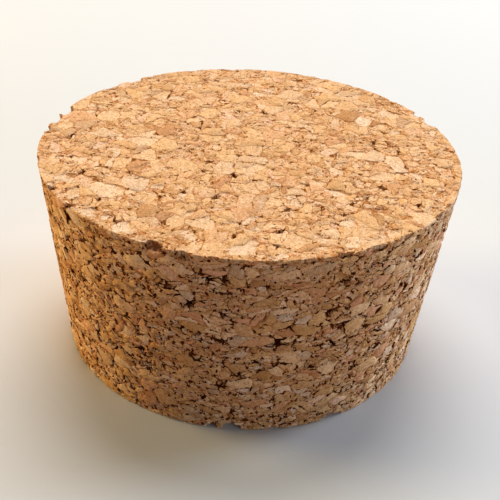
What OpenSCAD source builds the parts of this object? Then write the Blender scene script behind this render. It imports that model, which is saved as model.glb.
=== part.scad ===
// Tapered stopper pressed from cork granules, for a wide-mouthed jar.
// It stands on its small face. The origin is the centre of that face, with +Z up the axis to the
// large face. Bearings are in degrees round the axis: 0 is +X, 90 is +Y and -90 is the front.

/* [Stopper] */
// Diameter of the large face, at the top
top_d = 90; // [70:0.5:140]
// Diameter of the small face, at the bottom
bottom_d = 80; // [60:0.5:130]
// Height from the small face to the large face
height = 44.5; // [30:0.5:80]
// Width that wear has taken off the rim of the large face
top_wear = 0.3; // [0.2:0.1:1.5]
// Width that wear has taken off the rim of the small face
bottom_wear = 0.3; // [0.2:0.1:1.5]

/* [Rims] */
// Distance along a rim from one crumbled granule to the next
crumb_pitch = 13; // [9:0.5:30]
// Width of a crumbled granule, along the rim
crumb_w = 3.4; // [2:0.1:5]
// Depth to which a crumbled granule is gone, in from the rim
crumb_depth = 0.6; // [0.3:0.1:1.2]

/* [Pores] */
// Distance between common pores in the wall
wall_pore_pitch = 7; // [6:0.25:12]
// Distance between common pores in a face
face_pore_pitch = 11; // [6:0.25:16]
// Length of a common pore in the wall
wall_pore_w = 2.2; // [1.2:0.1:3]
// Length of a common pore in a face
face_pore_w = 1.6; // [1:0.1:2.5]
// How much the press has flattened the pores in the wall
squeeze = 0.6; // [0.4:0.05:1]
// Depth of a common pore
pore_depth = 1.1; // [0.5:0.1:2]
// Band along each rim that common pores keep out of
rim_band = 3.5; // [3:0.25:8]

/* [Hidden] */
// Granules missing from the rim of the large face: bearing, width, bite into the face, drop
top_chips = [
    [-149, 2.4, 2.2, 2.0],
    [-139, 2.6, 1.6, 1.4],
    [-111.5, 5.6, 2.9, 2.6],
    [-104, 4.0, 1.0, 2.2],
    [-74, 4.5, 0.8, 1.4],
    [-66, 4.5, 1.3, 1.8],
    [-57, 5.0, 0.7, 2.0],
    [-48, 5.0, 1.0, 1.2],
    [-34, 4.0, 0.7, 1.4],
    [24, 5.0, 1.1, 2.2],
    [30.5, 3.0, 1.2, 1.4],
    [69, 3.6, 0.6, 1.2],
    [98, 3.4, 0.7, 1.2],
    [131, 4.6, 1.4, 2.4],
    [140, 5.0, 1.5, 2.0],
    [162, 6.0, 2.0, 2.6],
    [168.5, 6.0, 1.7, 2.2],
    [175.5, 3.4, 1.2, 1.8],
];
// Granules missing from the rim of the small face: bearing, width, bite into the face, drop
bottom_chips = [
    [-97, 3.0, 1.6, 1.5],
    [-91, 5.0, 2.8, 2.6],
    [-60, 6.2, 1.6, 1.7],
    [8, 3.6, 0.9, 1.3],
    [63, 4.4, 1.2, 1.6],
    [148, 5.0, 1.3, 1.9],
];
// The largest pores in the wall: bearing, share of the height, length, height, lean
wall_gaps = [
    [-138, 0.95, 3.0, 1.8, 15],
    [-133, 0.76, 2.2, 1.2, 40],
    [-127, 0.61, 2.4, 1.6, 70],
    [-121.5, 0.56, 2.6, 1.4, 10],
    [-121.5, 0.09, 2.6, 1.6, 30],
    [-115, 0.30, 2.8, 1.2, 0],
    [-108, 0.79, 4.6, 1.1, 8],
    [-103.5, 0.75, 2.4, 2.2, 50],
    [-105.5, 0.58, 2.6, 1.5, 20],
    [-100.5, 0.42, 2.4, 1.6, 65],
    [-98.5, 0.17, 2.0, 2.6, 35],
    [-94, 0.89, 2.2, 1.8, 5],
    [-94.5, 0.72, 2.2, 2.4, 25],
    [-94.5, 0.57, 2.6, 3.4, 30],
    [-90.5, 0.34, 4.0, 1.0, 5],
    [-88.5, 0.14, 1.8, 2.4, 45],
    [-84, 0.86, 2.6, 1.2, 10],
    [-81.5, 0.56, 4.4, 1.6, 40],
    [-84.5, 0.40, 2.4, 1.4, 0],
    [-78, 0.66, 2.6, 1.8, 55],
    [-77.5, 0.46, 2.8, 1.2, 20],
    [-69, 0.50, 3.0, 1.2, 10],
    [-68, 0.69, 2.4, 2.0, 30],
    [-65.5, 0.88, 3.4, 2.4, 35],
    [-64, 0.35, 2.4, 2.0, 60],
    [-60.5, 0.59, 2.6, 1.8, 15],
    [-60.5, 0.18, 3.0, 1.4, 0],
    [-53, 0.34, 2.4, 1.8, 50],
    [-52.5, 0.62, 2.6, 2.2, 25],
    [-43.5, 0.17, 2.4, 1.6, 10],
    [-42, 0.69, 2.2, 3.0, 20],
];
// The largest pores in the large face: bearing, share of the radius, length, width, lean
top_gaps = [
    [-170, 0.90, 2.2, 1.6, 75],
    [-155, 0.80, 2.4, 1.6, 30],
    [-150, 0.62, 1.8, 1.6, 0],
    [-143, 0.24, 1.8, 1.4, 45],
    [-137, 0.86, 2.2, 1.6, 20],
    [-128, 0.34, 1.8, 1.6, 5],
    [-126, 0.92, 2.2, 1.2, 5],
    [-121, 0.55, 1.8, 1.6, 30],
    [-118, 0.23, 1.8, 1.2, 0],
    [-102, 0.29, 2.4, 1.2, 10],
    [-93, 0.80, 1.8, 1.4, 50],
    [-79, 0.77, 2.0, 1.4, 15],
    [-71, 0.38, 2.6, 1.2, 5],
    [-61, 0.62, 3.0, 2.0, 35],
    [-57, 0.72, 1.8, 1.6, 10],
    [-48, 0.64, 2.4, 1.8, 60],
    [-43, 0.77, 2.0, 1.6, 45],
    [-35, 0.58, 2.0, 1.4, 0],
    [-32, 0.87, 1.8, 1.4, 20],
    [-30, 0.68, 1.8, 1.4, 70],
    [-23, 0.81, 1.8, 1.6, 60],
    [-20, 0.92, 1.8, 1.4, 0],
    [-14, 0.72, 2.4, 1.6, 20],
    [-14, 0.84, 1.8, 1.4, 40],
    [-3, 0.39, 2.2, 1.4, 15],
    [4, 0.73, 1.8, 1.4, 30],
    [9, 0.93, 2.0, 1.2, 20],
    [13, 0.69, 1.8, 1.4, 60],
    [19, 0.27, 1.8, 1.6, 0],
    [27, 0.77, 2.2, 1.4, 15],
    [33, 0.85, 2.0, 1.6, 35],
    [45, 0.38, 1.8, 1.4, 80],
    [55, 0.70, 1.8, 1.6, 40],
    [55, 0.57, 1.8, 1.4, 25],
    [69, 0.60, 2.0, 1.4, 50],
    [75, 0.92, 2.0, 1.4, 0],
    [93, 0.72, 2.0, 1.6, 0],
    [97, 0.45, 2.0, 1.6, 30],
    [105, 0.81, 2.0, 1.4, 40],
    [112, 0.91, 2.0, 1.4, 10],
    [131, 0.86, 1.8, 1.4, 0],
    [134, 0.44, 2.2, 1.8, 20],
    [138, 0.89, 1.8, 1.6, 20],
    [147, 0.33, 2.0, 1.4, 65],
    [157, 0.88, 2.0, 1.8, 50],
    [172, 0.27, 1.8, 1.4, 20],
    [179, 0.86, 2.2, 1.4, 10],
];

top_r = top_d / 2;
bottom_r = bottom_d / 2;
wall_slope = atan((top_r - bottom_r) / height);
// Clearance past a surface, so that a cut comes right through it
proud = 1;
// Straight pieces in a worn rim
wear_steps = 2;
// Sides of the turned form when it is drawn as a mesh
turned_sides = 96;
// Cork left standing between one pore and the next
web = 0.6;
// Steps that spread a row of numbers evenly over a length, a height, a size and a lean
along_step = 0.7549;
across_step = 0.5698;
size_step = 0.6180;
lean_step = 0.4142;

// Radius of the tapered wall at a height
function wall_r(z) = bottom_r + (top_r - bottom_r) * z / height;

// The fraction left when count times step has its whole part taken away
function spread(count, step) = count * step - floor(count * step);

// A corner worn to a curve that starts and ends at the given distance along its two sides
function worn(corner, side_a, side_b, wear) = [
    for (i = [0 : wear_steps])
        let (t = i / wear_steps)
            corner + wear * ((1 - t) * (1 - t) * side_a + t * t * side_b)
];

// Outline of the space where three granules meet: three long points with hollow sides between
function gap_outline(w, h, lean) = [
    for (i = [0 : 5])
        let (a = 60 * i + lean, reach = (i % 2 == 0) ? 1 : 0.42)
            [w / 2 * reach * cos(a), h / 2 * reach * sin(a)]
];

// Outline of a broken granule: an uneven polygon that fits a w by h box
function chunk_outline(w, h, sides, lean) = [
    for (i = [0 : sides - 1])
        let (a = 360 * i / sides + lean, reach = 0.9 + 0.1 * sin(150 * i + lean))
            [w / 2 * reach * cos(a), h / 2 * reach * sin(a)]
];

// Where the largest pores lie on the wall and on the large face, in millimetres along each
wall_gap_spots = [for (g = wall_gaps) [g[0] * PI / 180 * wall_r(g[1] * height), g[1] * height]];
top_gap_spots = [for (g = top_gaps) g[1] * top_r * [cos(g[0]), sin(g[0])]];

// True where a pore of length w at a spot stays clear of every one of the largest pores
function roomy(spot, w, gaps, spots) =
    len(gaps) == 0 || min([for (i = [0 : len(gaps) - 1]) norm(spot - spots[i]) - gaps[i][2] / 2]) > w / 2 + web;

// The turned form, before any granule is lost
module worn_taper() {
    up_wall = [sin(wall_slope), cos(wall_slope)];
    rotate_extrude($fn = turned_sides)
        polygon(concat(
            [[0, 0]],
            worn([bottom_r, 0], [-1, 0], up_wall, bottom_wear),
            worn([top_r, height], -up_wall, [-1, 0], top_wear),
            [[0, height]]
        ));
}

// One granule as a broken chunk, w along X, d along Y and h along Z
module chunk(w, d, h, lean) {
    intersection() {
        linear_extrude(h, center = true)
            polygon(chunk_outline(w, d, 7, lean));
        rotate([90, 0, 0])
            linear_extrude(d, center = true)
                polygon(chunk_outline(w, h, 6, lean / 2));
        rotate([90, 0, 90])
            linear_extrude(w, center = true)
                polygon(chunk_outline(d, h, 6, lean + 20));
    }
}

// The hole that a granule leaves at a rim of radius r and height z
module rim_chip(r, z, bearing, w, bite, drop) {
    rotate([0, 0, bearing])
        translate([r, 0, z])
            rotate([0, 0, 90])
                chunk(w, 2 * bite, 2 * drop, bearing);
}

// Small crumbled granules all the way round a rim
module crumbs(r, z, start) {
    count = floor(2 * PI * r / crumb_pitch);
    for (i = [0 : count - 1]) {
        size = 0.75 + 0.5 * spread(i, size_step);
        bearing = start + 360 * (i + 0.4 * spread(i, along_step)) / count;
        rim_chip(r, z, bearing, crumb_w * size, crumb_depth * size, crumb_depth * (2 - size));
    }
}

// One pore, sunk from a surface at Z 0 towards -Z
module pore(w, h, lean, depth) {
    translate([0, 0, -depth])
        linear_extrude(depth + proud)
            polygon(gap_outline(w, h, lean));
}

// Puts a piece on the wall, with +Z straight out of the cork and +Y up the wall
module on_wall(bearing, z) {
    rotate([0, 0, bearing])
        translate([wall_r(z), 0, z])
            rotate([0, 90 + wall_slope, 0])
                rotate([0, 0, 90])
                    children();
}

// The largest pores of the tapered wall
module wall_gap_cuts() {
    for (g = wall_gaps)
        on_wall(g[0], g[1] * height)
            pore(g[2], g[3], g[4], 1.4 * pore_depth);
}

// The common pores of the tapered wall, in rows of cells, each pore astray in its own cell
module wall_pores() {
    rows = floor((height - 2 * rim_band) / wall_pore_pitch);
    row_h = (height - 2 * rim_band) / rows;
    for (row = [0 : rows - 1]) {
        row_z = rim_band + (row + 0.5) * row_h;
        count = floor(2 * PI * wall_r(row_z) / wall_pore_pitch);
        for (i = [1 : count]) {
            number = i + 50 * row;
            w = wall_pore_w * (0.6 + 0.75 * spread(number, size_step));
            h = w * squeeze * (1.3 - 0.5 * spread(number, across_step));
            z = row_z + (row_h - h - web) * (spread(number, across_step) - 0.5);
            astray = (wall_pore_pitch - w - web) * (spread(number, along_step) - 0.5);
            along = (i + row / 2) * wall_pore_pitch + astray;
            bearing = 360 * along / (count * wall_pore_pitch) - 180;
            turned = bearing > 180 ? bearing - 360 : bearing;
            if (roomy([turned * PI / 180 * wall_r(z), z], w, wall_gaps, wall_gap_spots))
                on_wall(bearing, z)
                    pore(w, h, 360 * spread(number, lean_step), pore_depth);
        }
    }
}

// The common pores of a flat face of radius r, spread like the seeds of a sunflower
module face_pores(r, start, gaps, spots) {
    field_r = r - rim_band;
    count = floor(PI * field_r * field_r / (face_pore_pitch * face_pore_pitch));
    for (i = [1 : count]) {
        bearing = start + 360 * i * size_step;
        spot = field_r * sqrt((i - 0.5) / count) * [cos(bearing), sin(bearing)];
        w = face_pore_w * (0.65 + 0.7 * spread(i, across_step));
        h = w * (1 - 0.4 * spread(i, along_step));
        if (roomy(spot, w, gaps, spots))
            translate([spot[0], spot[1], 0])
                pore(w, h, 360 * spread(i, lean_step), 0.8 * pore_depth);
    }
}

// The pores of the large face
module top_pores() {
    translate([0, 0, height]) {
        for (g = top_gaps)
            rotate([0, 0, g[0]])
                translate([g[1] * top_r, 0, 0])
                    pore(g[2], g[3], g[4], pore_depth);
        face_pores(top_r, 20, top_gaps, top_gap_spots);
    }
}

// The pores of the small face, which the stopper stands on
module bottom_pores() {
    mirror([0, 0, 1])
        face_pores(bottom_r, 75, [], []);
}

module cork_stopper() {
    color("#c58f5b")
        difference() {
            worn_taper();
            for (c = top_chips)
                rim_chip(top_r, height, c[0], c[1], c[2], c[3]);
            for (c = bottom_chips)
                rim_chip(bottom_r, 0, c[0], c[1], c[2], c[3]);
            crumbs(top_r, height, 4);
            crumbs(bottom_r, 0, 12);
            wall_gap_cuts();
            wall_pores();
            top_pores();
            bottom_pores();
        }
}

cork_stopper();
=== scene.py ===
"""A tapered stopper of pressed cork granules, on a plain stage. Sizes are millimetres until a mesh is made."""
import math

import bpy
import numpy as np
from bpy.props import FloatProperty, FloatVectorProperty, IntProperty, PointerProperty
from mathutils import Euler, Matrix, Vector


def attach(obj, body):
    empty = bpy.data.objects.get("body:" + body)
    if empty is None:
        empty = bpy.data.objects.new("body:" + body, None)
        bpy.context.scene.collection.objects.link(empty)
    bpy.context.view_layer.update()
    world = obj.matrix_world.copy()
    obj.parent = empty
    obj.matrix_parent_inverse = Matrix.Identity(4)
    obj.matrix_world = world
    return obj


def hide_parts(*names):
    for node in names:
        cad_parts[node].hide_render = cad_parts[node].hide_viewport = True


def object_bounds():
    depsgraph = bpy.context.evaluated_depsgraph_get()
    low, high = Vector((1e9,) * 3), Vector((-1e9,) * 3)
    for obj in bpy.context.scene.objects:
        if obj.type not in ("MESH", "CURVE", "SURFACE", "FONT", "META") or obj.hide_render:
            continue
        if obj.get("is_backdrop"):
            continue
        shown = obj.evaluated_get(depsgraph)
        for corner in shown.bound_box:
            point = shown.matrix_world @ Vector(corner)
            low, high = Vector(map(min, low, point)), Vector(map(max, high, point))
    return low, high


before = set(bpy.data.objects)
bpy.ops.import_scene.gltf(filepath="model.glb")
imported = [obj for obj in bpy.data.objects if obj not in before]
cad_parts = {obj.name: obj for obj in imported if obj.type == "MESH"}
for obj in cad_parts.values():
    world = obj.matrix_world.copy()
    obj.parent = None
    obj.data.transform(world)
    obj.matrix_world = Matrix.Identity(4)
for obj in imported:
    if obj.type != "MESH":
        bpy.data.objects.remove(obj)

bl_info = {
    "name": "Cork Stopper",
    "version": (1, 0, 0),
    "blender": (4, 5, 0),
    "location": "View3D > Sidebar > Cork",
    "description": "A tapered stopper of pressed cork granules, on a plain stage",
    "category": "Object",
}

NODE = "cork_stopper"
PIECE = "cork_stopper_cork"
MM = 0.001
CAD_LOW, CAD_HIGH = (np.array(corner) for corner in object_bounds())
# Metres by which the surface stays inside the CAD part's box
SKIN = 0.00002

# --- The stopper's form, as the CAD part has it, in millimetres and degrees --------------------

TOP_D = 90.0
BOTTOM_D = 80.0
TOP_WEAR = 0.3
BOTTOM_WEAR = 0.3
PORE_DEPTH = 1.1
CRUMB_PITCH = 13.0
CRUMB_W = 3.4
CRUMB_DEPTH = 0.6
WALL_PORE_PITCH = 7.0
FACE_PORE_PITCH = 11.0
WALL_PORE_W = 2.2
FACE_PORE_W = 1.6
SQUEEZE = 0.6
# Common pores keep out of this band along each rim, and leave at least this much cork between pores
RIM_BAND = 3.5
WEB = 0.6
# Points on the curve of a worn corner
WEAR_POINTS = 40
# Steps that spread a row of numbers evenly over a length, a height and a size
ALONG_STEP, ACROSS_STEP, SIZE_STEP = 0.7549, 0.5698, 0.6180
# Bearings where the crumbs of each rim and the common pores of each face start
TOP_CRUMBS_FROM, BOTTOM_CRUMBS_FROM = 4, 12
TOP_PORES_FROM, BOTTOM_PORES_FROM = 20, 75

# Granules missing from a rim: bearing, width, bite into the face, drop
TOP_CHIPS = (
    (-149, 2.4, 2.2, 2.0), (-139, 2.6, 1.6, 1.4), (-111.5, 5.6, 2.9, 2.6), (-104, 4.0, 1.0, 2.2),
    (-74, 4.5, 0.8, 1.4), (-66, 4.5, 1.3, 1.8), (-57, 5.0, 0.7, 2.0), (-48, 5.0, 1.0, 1.2),
    (-34, 4.0, 0.7, 1.4), (24, 5.0, 1.1, 2.2), (30.5, 3.0, 1.2, 1.4), (69, 3.6, 0.6, 1.2),
    (98, 3.4, 0.7, 1.2), (131, 4.6, 1.4, 2.4), (140, 5.0, 1.5, 2.0), (162, 6.0, 2.0, 2.6),
    (168.5, 6.0, 1.7, 2.2), (175.5, 3.4, 1.2, 1.8),
)
BOTTOM_CHIPS = (
    (-97, 3.0, 1.6, 1.5), (-91, 5.0, 2.8, 2.6), (-60, 6.2, 1.6, 1.7),
    (8, 3.6, 0.9, 1.3), (63, 4.4, 1.2, 1.6), (148, 5.0, 1.3, 1.9),
)
# The largest pores in the wall: bearing, share of the height, length, height
WALL_GAPS = (
    (-138, 0.95, 3.0, 1.8), (-133, 0.76, 2.2, 1.2), (-127, 0.61, 2.4, 1.6), (-121.5, 0.56, 2.6, 1.4),
    (-121.5, 0.09, 2.6, 1.6), (-115, 0.30, 2.8, 1.2), (-108, 0.79, 4.6, 1.1), (-103.5, 0.75, 2.4, 2.2),
    (-105.5, 0.58, 2.6, 1.5), (-100.5, 0.42, 2.4, 1.6), (-98.5, 0.17, 2.0, 2.6), (-94, 0.89, 2.2, 1.8),
    (-94.5, 0.72, 2.2, 2.4), (-94.5, 0.57, 2.6, 3.4), (-90.5, 0.34, 4.0, 1.0), (-88.5, 0.14, 1.8, 2.4),
    (-84, 0.86, 2.6, 1.2), (-81.5, 0.56, 4.4, 1.6), (-84.5, 0.40, 2.4, 1.4), (-78, 0.66, 2.6, 1.8),
    (-77.5, 0.46, 2.8, 1.2), (-69, 0.50, 3.0, 1.2), (-68, 0.69, 2.4, 2.0), (-65.5, 0.88, 3.4, 2.4),
    (-64, 0.35, 2.4, 2.0), (-60.5, 0.59, 2.6, 1.8), (-60.5, 0.18, 3.0, 1.4), (-53, 0.34, 2.4, 1.8),
    (-52.5, 0.62, 2.6, 2.2), (-43.5, 0.17, 2.4, 1.6), (-42, 0.69, 2.2, 3.0),
)
# The largest pores in the large face: bearing, share of the radius, length, width
TOP_GAPS = (
    (-170, 0.90, 2.2, 1.6), (-155, 0.80, 2.4, 1.6), (-150, 0.62, 1.8, 1.6), (-143, 0.24, 1.8, 1.4),
    (-137, 0.86, 2.2, 1.6), (-128, 0.34, 1.8, 1.6), (-126, 0.92, 2.2, 1.2), (-121, 0.55, 1.8, 1.6),
    (-118, 0.23, 1.8, 1.2), (-102, 0.29, 2.4, 1.2), (-93, 0.80, 1.8, 1.4), (-79, 0.77, 2.0, 1.4),
    (-71, 0.38, 2.6, 1.2), (-61, 0.62, 3.0, 2.0), (-57, 0.72, 1.8, 1.6), (-48, 0.64, 2.4, 1.8),
    (-43, 0.77, 2.0, 1.6), (-35, 0.58, 2.0, 1.4), (-32, 0.87, 1.8, 1.4), (-30, 0.68, 1.8, 1.4),
    (-23, 0.81, 1.8, 1.6), (-20, 0.92, 1.8, 1.4), (-14, 0.72, 2.4, 1.6), (-14, 0.84, 1.8, 1.4),
    (-3, 0.39, 2.2, 1.4), (4, 0.73, 1.8, 1.4), (9, 0.93, 2.0, 1.2), (13, 0.69, 1.8, 1.4),
    (19, 0.27, 1.8, 1.6), (27, 0.77, 2.2, 1.4), (33, 0.85, 2.0, 1.6), (45, 0.38, 1.8, 1.4),
    (55, 0.70, 1.8, 1.6), (55, 0.57, 1.8, 1.4), (69, 0.60, 2.0, 1.4), (75, 0.92, 2.0, 1.4),
    (93, 0.72, 2.0, 1.6), (97, 0.45, 2.0, 1.6), (105, 0.81, 2.0, 1.4), (112, 0.91, 2.0, 1.4),
    (131, 0.86, 1.8, 1.4), (134, 0.44, 2.2, 1.8), (138, 0.89, 1.8, 1.6), (147, 0.33, 2.0, 1.4),
    (157, 0.88, 2.0, 1.8), (172, 0.27, 1.8, 1.4), (179, 0.86, 2.2, 1.4),
)

# --- The granules -----------------------------------------------------------------------------

# Three sizes of granule share the cork: the size, the share of whole cells, the share of whole and halved
# ones, and a shift. A cell is one granule if its first random number is under the first share, two granules
# if it is under the second, and otherwise it is filled with cells of the next size.
GRANULES = (
    (4.5, 0.12, 0.36, (11.3, 4.7, 7.9)),
    (2.7, 0.32, 0.70, (3.1, 15.7, 9.3)),
    (1.55, 0.45, 1.01, (8.9, 2.3, 13.1)),
)
# A halved cell's two granules differ by this much in tone
HALVES_DIFFER = 0.37
# The press has flattened each granule by this factor along the axis
FLATTENED = 1.9
# Randomness of the Voronoi cells, and the squared distance in cells under which two points are one
RANDOMNESS = 0.92
SAME_POINT = 0.0001
# Waves that bend the granules' sides: turn in degrees, radians per millimetre, reach in millimetres
BENDS = (
    ((20.0, 35.0, 50.0), 1.1, 0.34),
    ((70.0, 10.0, 80.0), 2.6, 0.15),
    ((40.0, 65.0, 15.0), 5.3, 0.06),
)
# Cells are worked out to this many millimetres past the surface
MARGIN = 2
# A distance, in millimetres or cells, that stands for no side at all
FAR = 100.0
# The streaks in a granule: radians that its two random numbers and their sum turn them by, and how many run
# in a millimetre of each axis
STREAK_TURNS, STREAK_WAVES = (21.0, 17.0, 13.0), (0.5, 0.9, 4.2)

# --- Breaks, pores and relief, in millimetres -------------------------------------------------

# Waves that make a missing granule's outline ragged: reach, radians per millimetre, order of the axes
RAGGED = ((0.22, 4.5, (1, 2, 0)), (0.10, 11.0, (2, 0, 1)))
# A pore moves to a place where granules meet: how far it looks along each axis, in how many steps, how far
# from a side still counts, the cost of each millimetre moved, and how far it keeps from a face
MEETING_REACH, MEETING_STEPS, MEETING_SIDE, MEETING_COST, MEETING_BAND = 1.5, 25, 1.0, 0.5, 1.0
# The gap between granules at a pore's middle, as a share of the pore's size, and the chance factors on it
WALL_GAPE, FACE_GAPE = 0.19, 0.17
LEAST_GAPE, MOST_GAPE = 0.55, 1.15
# The bell curve of that gap: its width as a share of the pore's length, how much faster it falls off along one
# direction, and how upright that direction is in the wall. In a face it is level.
BELL_WIDTH, BELL_THIN, BELL_LEAN = 0.40, 5.0, 1.4
# Depth gained for each millimetre that the gap is wider than the distance to a granule's side
PORE_FALL = 4.5
# A pore's deepest point against the CAD part's pore, whose floor is flat
PORE_DEEPEST = 1.3
# Distance each way from a rim within which the way into the cork turns from the wall's to the face's
RIM_TURN = 2.0
# The least depth of the surface, and the power of a granule's random number that gives its own depth
LEAST_DEPTH, DEPTH_POWER = 0.03, 1.5
# A granule's tilt, and the depth and width of the groove at its side, each on a face and what the wall adds
TILT, GROOVE_DEPTH, GROOVE_W = (0.11, 0.08), (0.06, 0.09), (0.30, 0.25)
# At a rim the relief is only this share of the whole, and grows to the whole over this distance. How far a
# break has pressed the surface in counts this many times towards the distance.
RIM_SHARE, RIM_REACH, BREAK_COUNTS = 0.4, 1.6, 3
# Edges sharper than this many degrees are shaded as edges
SHARP_EDGE = 45

# --- The colours and fine grain of the cork ---------------------------------------------------

# The looks of the wall start this far from a face, and are whole this far from it, in millimetres
WALL_STARTS, WALL_WHOLE = 0.4, 0.8
# Where each tone of cork stands along a granule's first random number, from 0 to 1: the two colours it is
# mixed from, and its share of the second
TONES = (
    (0.00, "deep", "middle", 0.0), (0.06, "deep", "middle", 0.45), (0.20, "deep", "middle", 0.78),
    (0.46, "middle", "pale", 0.0), (0.76, "middle", "pale", 0.35), (0.93, "middle", "pale", 0.7),
    (1.00, "middle", "pale", 1.0),
)
# Tints that granules take by their second random number: the range over which a tint comes or goes, its share
# at both ends of that range, how strong it is on a face and on the wall, and its colour
HUES = (
    (0.00, 0.32, 1.0, 0.0, 0.40, 0.76, (0.80, 0.38, 0.20)),
    (0.42, 0.56, 0.0, 1.0, 0.14, 0.36, (0.86, 0.50, 0.19)),
    (0.72, 0.95, 0.0, 1.0, 0.34, 0.74, (0.76, 0.54, 0.38)),
)
# What darker cork is multiplied by: along a seam, the darker joint between granules with painted shade towards
# each granule's edge; in a broken place, and in the bed that a lost granule leaves, darker cork with painted
# shade in the recess
SEAM_AND_SHADE_TINT, BROKEN_AND_SHADE_TINT, BED_AND_SHADE_TINT = (0.70, 0.42, 0.16, 1.0), (0.66, 0.58, 0.56, 1.0), (0.46, 0.25, 0.13, 1.0)
# Noises in the cork: waves per millimetre, detail, roughness and distortion
CLOUD, MOTTLE, GRAIN = (0.16, 2.0, 0.5), (1.4, 4.0, 0.65, 0.5), (3.6, 2.0, 0.6)
STREAK, PATCH, WAVER = (1.0, 2.0, 0.55), (0.62, 3.0, 0.6), (2.6, 2.0, 0.6)
BED, FLECK, LOOSE = (1.3, 3.0, 0.7), (1.9, 3.0, 0.65, 0.3), (1.1, 2.0, 0.55)
# How much lighter a granule is on the wall by its first random number, counted from the common tone
COMMON_TONE, WALL_CONTRAST = 0.46, 0.30
# Light of the largest granules, and what the smallest ones add
SIZE_LIGHT = (1.06, -0.07)
# Powers of the light and dark that the red and the blue of the cork follow
RED_POWER, BLUE_POWER = 0.68, 1.5
# A seam's edge wavers by this many millimetres. Its colour is whole up to SEAM_FROM and gone at SEAM_TO.
SEAM_WAVER, SEAM_FROM, SEAM_TO = 0.22, 0.09, 0.34
# How much the noise of a bed counts beside the millimetres that a break has pressed the surface in
BED_NOISE = 3.0
# Thin cracks: the noise from which they open and their greatest width, each on a face and what the wall adds,
# the noise at which they are widest, the width that closes them, and a width that all have more of on the wall
CRACK_FROM, CRACK_W = (0.53, -0.07), (0.36, -0.04)
CRACK_WIDEST, CRACK_CLOSED, CRACK_MORE = 0.68, -0.14, 0.09
# Sets the noise of the cracks apart from the others
LOOSE_SHIFT = (31.0, 7.0, 19.0)
# Roughness of the darkest and the palest granules, specular level, and strength of the fine relief
DEEP_ROUGH, PALE_ROUGH, SPECULAR, FINE_RELIEF = 0.92, 0.78, 0.06, 0.8

# --- The stage, in metres unless it says otherwise --------------------------------------------

# The floor in millimetres: its radius, and the distances where it starts and ends to fade into the backdrop
FLOOR_R, FADE_FROM, FADE_TO = 6000, 380.0, 1100.0
FLOOR_SQUARES = 24
# The floor's colour to the light that it throws back at the cork, and the world's light on the cork
FLOOR_BOUNCE, WORLD_LIGHT = (0.30, 0.19, 0.13, 1.0), (0.10, 0.10, 0.10, 1.0)
# Round lamps: name, place, aim, diameter, watts and colour
LAMPS = (
    ("Overhead", (0.0, 0.70, 1.27), (0, 0, 0), 1.05, 19.8, (0.985, 0.955, 0.94)),
    ("Left flank", (-0.905, 0.21, 0.23), (0, 0, 0.02), 0.45, 8.8, (1.0, 0.77, 0.36)),
    ("Right flank", (0.84, 0.42, 0.22), (0, 0, 0.02), 0.45, 9.8, (0.66, 0.81, 1.0)),
    ("Front", (0.72, -0.70, 0.25), (0, 0, 0.02), 0.6, 2.55, (0.80, 0.89, 1.0)),
)
# The camera looks along +Y, turned down from level and rolled anticlockwise by these degrees. Its place, focal
# length and sensor width are in millimetres, and CAMERA_NEAREST is in metres.
CAMERA_PLACE = (1.123, -184.32, 134.45)
CAMERA_DOWN, CAMERA_ROLL = 32.194, 3.330
CAMERA_LENS, CAMERA_SENSOR = 68.4, 36.0
CAMERA_NEAREST = 0.01


class CorkSizes(bpy.types.PropertyGroup):
    """Sizes of the stopper that a user would change."""

    top_d: FloatProperty(
        name="Large face", description="Diameter of the large face", default=TOP_D * MM, unit="LENGTH")
    bottom_d: FloatProperty(
        name="Small face", description="Diameter of the small face", default=BOTTOM_D * MM, unit="LENGTH")
    height: FloatProperty(
        name="Height", description="Height between the two faces",
        default=float(CAD_HIGH[2] - CAD_LOW[2]), unit="LENGTH")
    relief: FloatProperty(
        name="Relief", description="How far the deepest granules lie below the turned surface",
        default=0.00022, unit="LENGTH", precision=5)
    pore_depth: FloatProperty(
        name="Pore depth", description="Depth of an open pore",
        default=PORE_DEEPEST * PORE_DEPTH * MM, unit="LENGTH")
    grid_step: FloatProperty(
        name="Grid step", description="Spacing of the surface points before they are thinned",
        default=0.00017, unit="LENGTH", precision=5)
    triangle_limit: IntProperty(
        name="Triangles", description="Number of triangles after thinning", default=192000)


class CorkLook(bpy.types.PropertyGroup):
    """Colours of the stopper and its stage."""

    pale: FloatVectorProperty(
        name="Pale granule", description="Colour of the palest granules",
        default=(0.95, 0.655, 0.425), subtype="COLOR", size=3)
    middle: FloatVectorProperty(
        name="Common granule", description="Colour of the common granules",
        default=(0.86, 0.51, 0.25), subtype="COLOR", size=3)
    deep: FloatVectorProperty(
        name="Dark granule", description="Colour of the darkest granules",
        default=(0.58, 0.28, 0.11), subtype="COLOR", size=3)
    # Used for the flecks, thin cracks and pores on the faces: partly their dark cork and partly painted shade
    seam: FloatVectorProperty(
        name="Seam", description="Colour of the seams between granules",
        default=(0.27, 0.078, 0.006), subtype="COLOR", size=3)
    # On the wall the pores, cracks and flecks take this darker colour: their dark cork with painted shade,
    # darker than on the faces for the dimmer light on the wall
    hollow_with_shade: FloatVectorProperty(
        name="Hollow", description="Colour deep inside a pore",
        default=(0.100, 0.020, 0.002), subtype="COLOR", size=3)
    floor: FloatVectorProperty(
        name="Floor", description="Colour of the floor",
        default=(0.70, 0.696, 0.68), subtype="COLOR", size=3)
    backdrop: FloatVectorProperty(
        name="Backdrop", description="Colour that the floor fades into far behind the stopper",
        default=(0.86, 0.86, 0.86), subtype="COLOR", size=3)


# --- The cells that the granules are cut from -------------------------------------------------

HASH_START = 0xDEADBEEF
WORD_MOST = 0xFFFFFFFF
np.seterr(over="ignore")


def turn_bits(x, places):
    """The bits of x turned left round a ring of 32."""
    return (x << np.uint32(places)) | (x >> np.uint32(32 - places))


def last_mix(a, b, c):
    """The closing steps of the hash: each word in turn is crossed with another, less that one's turned bits."""
    for places in (14, 11, 25, 16, 4, 14, 24):
        c = (c ^ b) - turn_bits(b, places)
        a, b, c = b, c, a
    return b


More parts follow.
